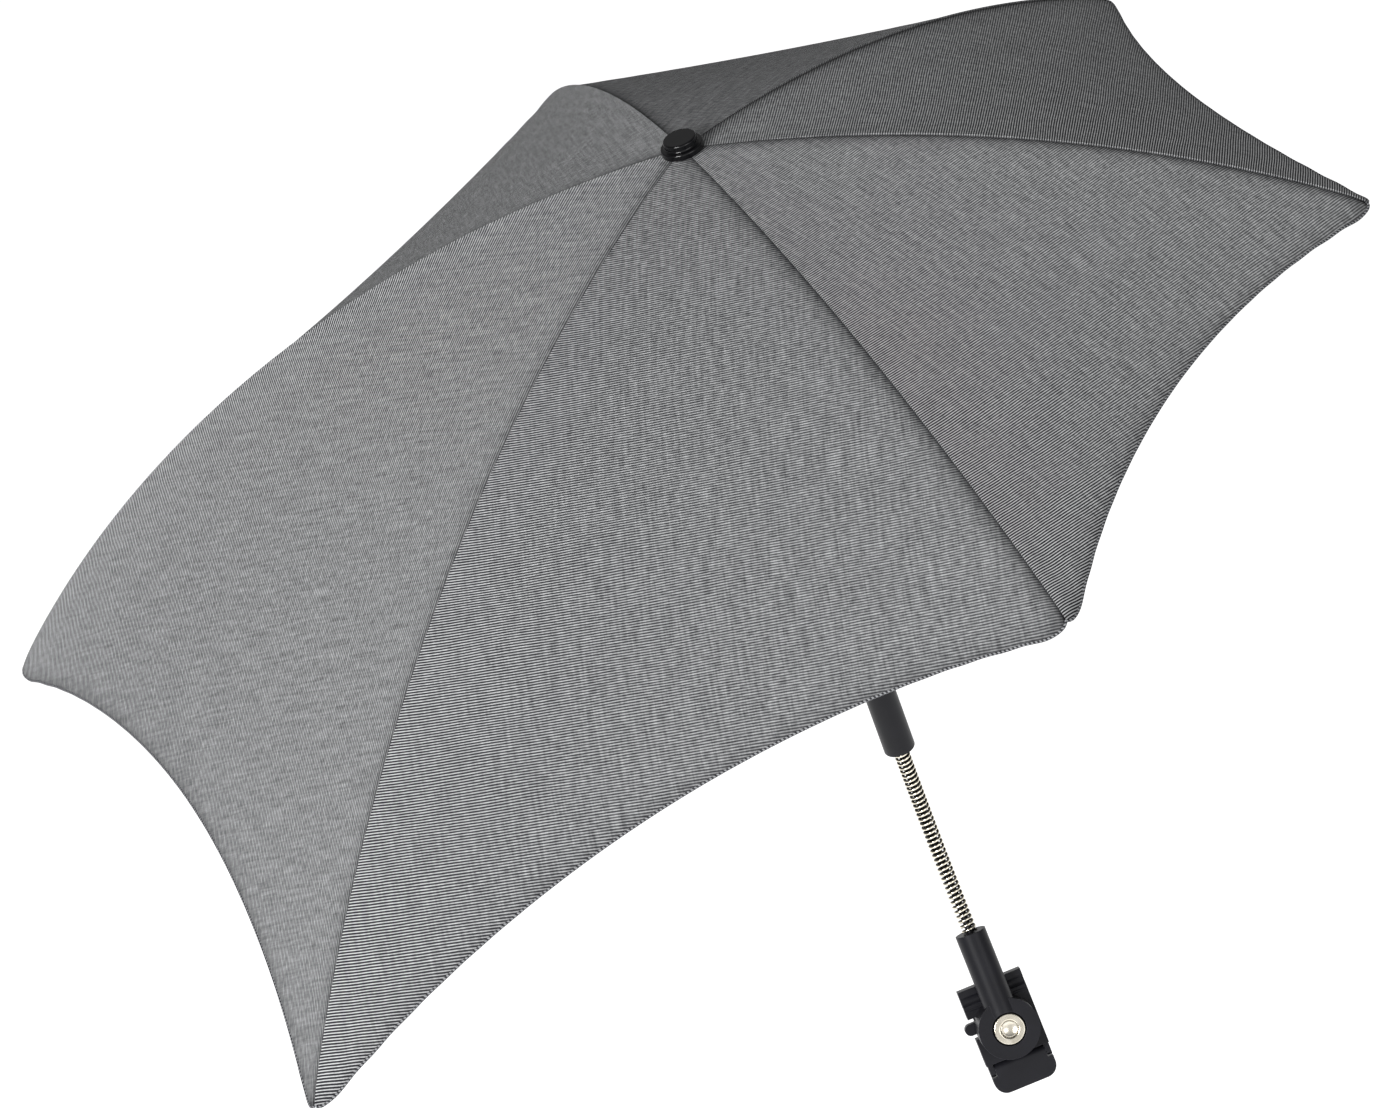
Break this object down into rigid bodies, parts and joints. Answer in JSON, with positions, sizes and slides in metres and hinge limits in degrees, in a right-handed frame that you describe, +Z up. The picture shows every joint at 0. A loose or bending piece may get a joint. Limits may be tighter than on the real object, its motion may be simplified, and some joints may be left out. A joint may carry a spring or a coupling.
{
  "type": "pram parasol",
  "caption": "Folding pram parasol with a grey twill canopy that reaches further at the front, on a pole with a sprung bending neck and a pivoting tube clamp.",
  "frame": {"origin": "middle of the tube that the clamp grips", "axes": "+X along the gripped tube, +Z up along the canopy's pole, -Y towards the clamp's pivot face"},
  "size_m": [0.6715, 0.5963, 0.5522],
  "materials": {
    "black_nylon": "moulded, fine matt texture",
    "gloss_black": "moulded, gloss",
    "grip_rubber": "matt",
    "bright_nickel": "polished nickel plate",
    "nickel_wire": "bright nickel plated spring wire",
    "steel": "turned",
    "black_pole": "black anodised",
    "rib_rod": "pultruded glass-fibre rod, black",
    "grey_canvas": "melange grey woven twill"
  },
  "bodies": {
    "clamp": {"clamp_body": "black_nylon", "jaw_pad": "grip_rubber", "lever_pin": "steel", "pivot_bolt": "steel", "toothed_ring": "black_nylon"},
    "lever": {"clamp_lever": "black_nylon", "lever_pad": "grip_rubber"},
    "nub": {"release_nub": "black_nylon"},
    "arm": {"pivot_arm": "black_nylon", "pivot_collar": "bright_nickel", "neck_spring": "nickel_wire", "neck_core": "steel"},
    "button": {"pivot_button": "bright_nickel"},
    "pole": {"upper_sleeve": "black_nylon", "pole_tube": "black_pole", "pole_stop": "black_nylon", "crown": "black_nylon", "crown_pins": "steel", "top_cap": "gloss_black", "cap_screw": "steel"},
    "runner": {"runner": "black_nylon"},
    "press": {"runner_button": "black_nylon"},
    "rib_1": {"rib_1": "rib_rod", "rib_tip_1": "black_nylon", "rib_clip_1": "black_nylon", "canopy_1": "grey_canvas"},
    "strut_1": {"stretcher_1": "rib_rod"},
    "rib_2": {"rib_2": "rib_rod", "rib_tip_2": "black_nylon", "rib_clip_2": "black_nylon", "canopy_2": "grey_canvas"},
    "strut_2": {"stretcher_2": "rib_rod"},
    "rib_3": {"rib_3": "rib_rod", "rib_tip_3": "black_nylon", "rib_clip_3": "black_nylon", "canopy_3": "grey_canvas"},
    "strut_3": {"stretcher_3": "rib_rod"},
    "rib_4": {"rib_4": "rib_rod", "rib_tip_4": "black_nylon", "rib_clip_4": "black_nylon", "canopy_4": "grey_canvas"},
    "strut_4": {"stretcher_4": "rib_rod"},
    "rib_5": {"rib_5": "rib_rod", "rib_tip_5": "black_nylon", "rib_clip_5": "black_nylon", "canopy_5": "grey_canvas"},
    "strut_5": {"stretcher_5": "rib_rod"},
    "rib_6": {"rib_6": "rib_rod", "rib_tip_6": "black_nylon", "rib_clip_6": "black_nylon", "canopy_6": "grey_canvas"},
    "strut_6": {"stretcher_6": "rib_rod"}
  },
  "joints": [
    {"name": "lever_turn", "type": "hinge", "parent": "clamp", "child": "lever", "pos_m": [0, -0.02484, -0.00944], "axis": [1, 0, 0], "range_deg": [-60, 0]},
    {"name": "nub_press", "type": "slide", "parent": "clamp", "child": "nub", "axis": [1, 0, 0], "range_m": [0, 0.0025], "stiffness_N_per_m": 300},
    {"name": "arm_pivot", "type": "hinge", "parent": "clamp", "child": "arm", "pos_m": [0, 0, 0], "axis": [0, 0.8829, -0.4695], "range_deg": [-75, 75]},
    {"name": "button_press", "type": "slide", "parent": "arm", "child": "button", "axis": [0, 0.8829, -0.4695], "range_m": [0, 0.002], "stiffness_N_per_m": 400},
    {"name": "neck_bend", "type": "hinge", "parent": "arm", "child": "pole", "pos_m": [0, 0.02476, 0.10813], "axis": [1, 0, 0], "range_deg": [-60, 20], "deforming": ["neck_spring", "neck_core"]},
    {"name": "runner_slide", "type": "slide", "parent": "pole", "child": "runner", "axis": [0, 0, -1], "range_m": [0, 0.14605]},
    {"name": "runner_press", "type": "slide", "parent": "runner", "child": "press", "axis": [0.2588, 0.9659, 0], "range_m": [0, 0.0014], "stiffness_N_per_m": 300},
    {"name": "rib_fold_1", "type": "hinge", "parent": "pole", "child": "rib_1", "pos_m": [-0.0013, 0.03468, 0.51573], "axis": [-0.9914, -0.1305, 0], "range_deg": [0, 60.5], "deforming": ["canopy_1"]},
    {"name": "strut_turn_1", "type": "hinge", "parent": "rib_1", "child": "strut_1", "pos_m": [-0.01612, 0.14717, 0.48943], "axis": [-0.9914, -0.1305, 0], "range_deg": [-105.97, 0]},
    {"name": "rib_fold_2", "type": "hinge", "parent": "pole", "child": "rib_2", "pos_m": [0.00799, 0.03078, 0.51573], "axis": [-0.6018, 0.7986, 0], "range_deg": [0, 60.5], "deforming": ["canopy_2"]},
    {"name": "strut_turn_2", "type": "hinge", "parent": "rib_2", "child": "strut_2", "pos_m": [0.0986, 0.09906, 0.48943], "axis": [-0.6018, 0.7986, 0], "range_deg": [-105.97, 0]},
    {"name": "rib_fold_3", "type": "hinge", "parent": "pole", "child": "rib_3", "pos_m": [0.00956, 0.02184, 0.51573], "axis": [0.2924, 0.9563, 0], "range_deg": [0, 60.5], "deforming": ["canopy_3"]},
    {"name": "strut_turn_3", "type": "hinge", "parent": "rib_3", "child": "strut_3", "pos_m": [0.11807, -0.01133, 0.48943], "axis": [0.2924, 0.9563, 0], "range_deg": [-105.97, 0]},
    {"name": "rib_fold_4", "type": "hinge", "parent": "pole", "child": "rib_4", "pos_m": [0.00216, 0.015, 0.51573], "axis": [0.9763, 0.2164, 0], "range_deg": [0, 60.5], "deforming": ["canopy_4"]},
    {"name": "strut_turn_4", "type": "hinge", "parent": "rib_4", "child": "strut_4", "pos_m": [0.02672, -0.09577, 0.48943], "axis": [0.9763, 0.2164, 0], "range_deg": [-105.97, 0]},
    {"name": "rib_fold_5", "type": "hinge", "parent": "pole", "child": "rib_5", "pos_m": [-0.00751, 0.01816, 0.51573], "axis": [0.66, -0.7513, 0], "range_deg": [0, 60.5], "deforming": ["canopy_5"]},
    {"name": "strut_turn_5", "type": "hinge", "parent": "rib_5", "child": "strut_5", "pos_m": [-0.09275, -0.05672, 0.48943], "axis": [0.66, -0.7513, 0], "range_deg": [-105.97, 0]},
    {"name": "rib_fold_6", "type": "hinge", "parent": "pole", "child": "rib_6", "pos_m": [-0.00932, 0.0284, 0.51573], "axis": [-0.3633, -0.9317, 0], "range_deg": [0, 60.5], "deforming": ["canopy_6"]},
    {"name": "strut_turn_6", "type": "hinge", "parent": "rib_6", "child": "strut_6", "pos_m": [-0.11503, 0.06961, 0.48943], "axis": [-0.3633, -0.9317, 0], "range_deg": [-105.97, 0]}
  ],
  "couplings": [
    {"joint": "rib_fold_1", "follows": "runner_slide", "rad_per_m": 7.1703},
    {"joint": "strut_turn_1", "follows": "runner_slide", "rad_per_m": -12.538},
    {"joint": "rib_fold_2", "follows": "runner_slide", "rad_per_m": 7.1703},
    {"joint": "strut_turn_2", "follows": "runner_slide", "rad_per_m": -12.538},
    {"joint": "rib_fold_3", "follows": "runner_slide", "rad_per_m": 7.1703},
    {"joint": "strut_turn_3", "follows": "runner_slide", "rad_per_m": -12.538},
    {"joint": "rib_fold_4", "follows": "runner_slide", "rad_per_m": 7.1703},
    {"joint": "strut_turn_4", "follows": "runner_slide", "rad_per_m": -12.538},
    {"joint": "rib_fold_5", "follows": "runner_slide", "rad_per_m": 7.1703},
    {"joint": "strut_turn_5", "follows": "runner_slide", "rad_per_m": -12.538},
    {"joint": "rib_fold_6", "follows": "runner_slide", "rad_per_m": 7.1703},
    {"joint": "strut_turn_6", "follows": "runner_slide", "rad_per_m": -12.538}
  ]
}
